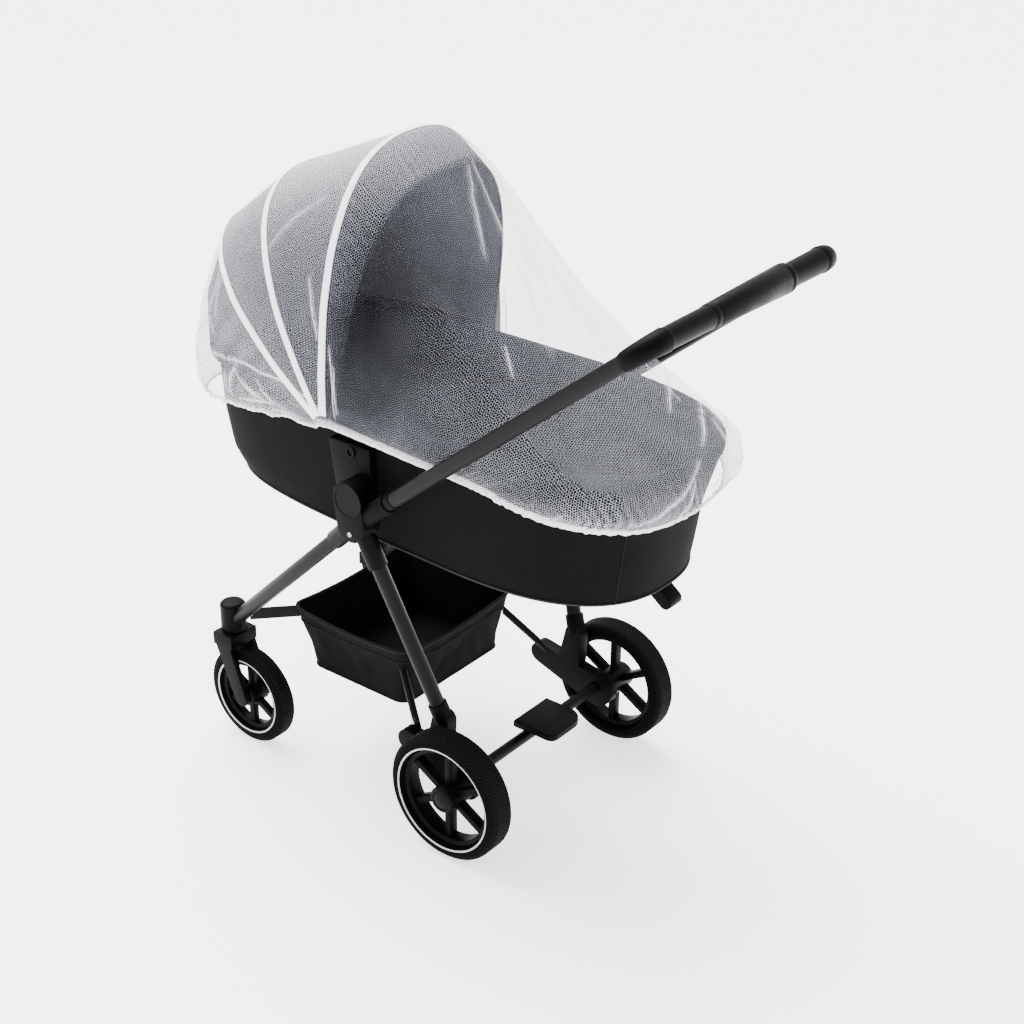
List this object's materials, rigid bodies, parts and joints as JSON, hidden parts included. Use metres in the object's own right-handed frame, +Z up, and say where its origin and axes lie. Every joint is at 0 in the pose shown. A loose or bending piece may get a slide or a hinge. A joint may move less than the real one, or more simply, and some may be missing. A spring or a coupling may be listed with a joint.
{
  "type": "mosquito net on a pram with carrycot",
  "caption": "Fine mesh insect net with an elastic hem and sewn tapes, drawn over the hood and carrycot of a wheeled pram.",
  "frame": {"origin": "on the ground, under the middle of the pram's bounding box", "axes": "+X to the foot end and push handle, -X to the head end and hood, +Z up; the near side of the picture is -Y"},
  "size_m": [1.049, 0.528, 1.1405],
  "materials": {
    "net_mesh": "fine sheer white tulle",
    "net_tape": "white woven tape",
    "hood_cloth": "dark grey matt woven cloth",
    "cot_cloth": "black matt woven cloth",
    "frame_paint": "black satin powder coat",
    "black_plastic": "black matt moulding",
    "wheel_tyre": "black rubber with a fine tread",
    "grip_leather": "black smooth imitation leather"
  },
  "bodies": {
    "root": {"net": "net_mesh", "tape_rear": "net_tape", "tape_middle": "net_tape", "tape_main": "net_tape", "hood": "hood_cloth", "cot_shell": "cot_cloth", "cot_rim": "hood_cloth", "cot_foot": "black_plastic", "basket": "cot_cloth", "basket_strap_near": "cot_cloth", "basket_strap_far": "cot_cloth", "basket_rod_near": "frame_paint", "basket_rod_far": "frame_paint", "adapter_near": "black_plastic", "adapter_far": "black_plastic", "joint_near": "black_plastic", "joint_far": "black_plastic", "arm_near": "frame_paint", "arm_far": "frame_paint", "elbow_near": "black_plastic", "elbow_far": "black_plastic", "crossbar": "frame_paint", "grip": "grip_leather", "front_leg_near": "frame_paint", "front_leg_far": "frame_paint", "swivel_near": "black_plastic", "swivel_far": "black_plastic", "fork_near": "black_plastic", "fork_far": "black_plastic", "rear_leg_near": "frame_paint", "rear_leg_far": "frame_paint", "rear_bracket_near": "black_plastic", "rear_bracket_far": "black_plastic", "axle": "frame_paint", "brake_pedal": "black_plastic", "rear_wheel_near_tyre": "wheel_tyre", "rear_wheel_near_rim": "black_plastic", "rear_wheel_far_tyre": "wheel_tyre", "rear_wheel_far_rim": "black_plastic", "front_wheel_near_tyre": "wheel_tyre", "front_wheel_near_rim": "black_plastic", "front_wheel_far_tyre": "wheel_tyre", "front_wheel_far_rim": "black_plastic"}
  },
  "joints": []
}
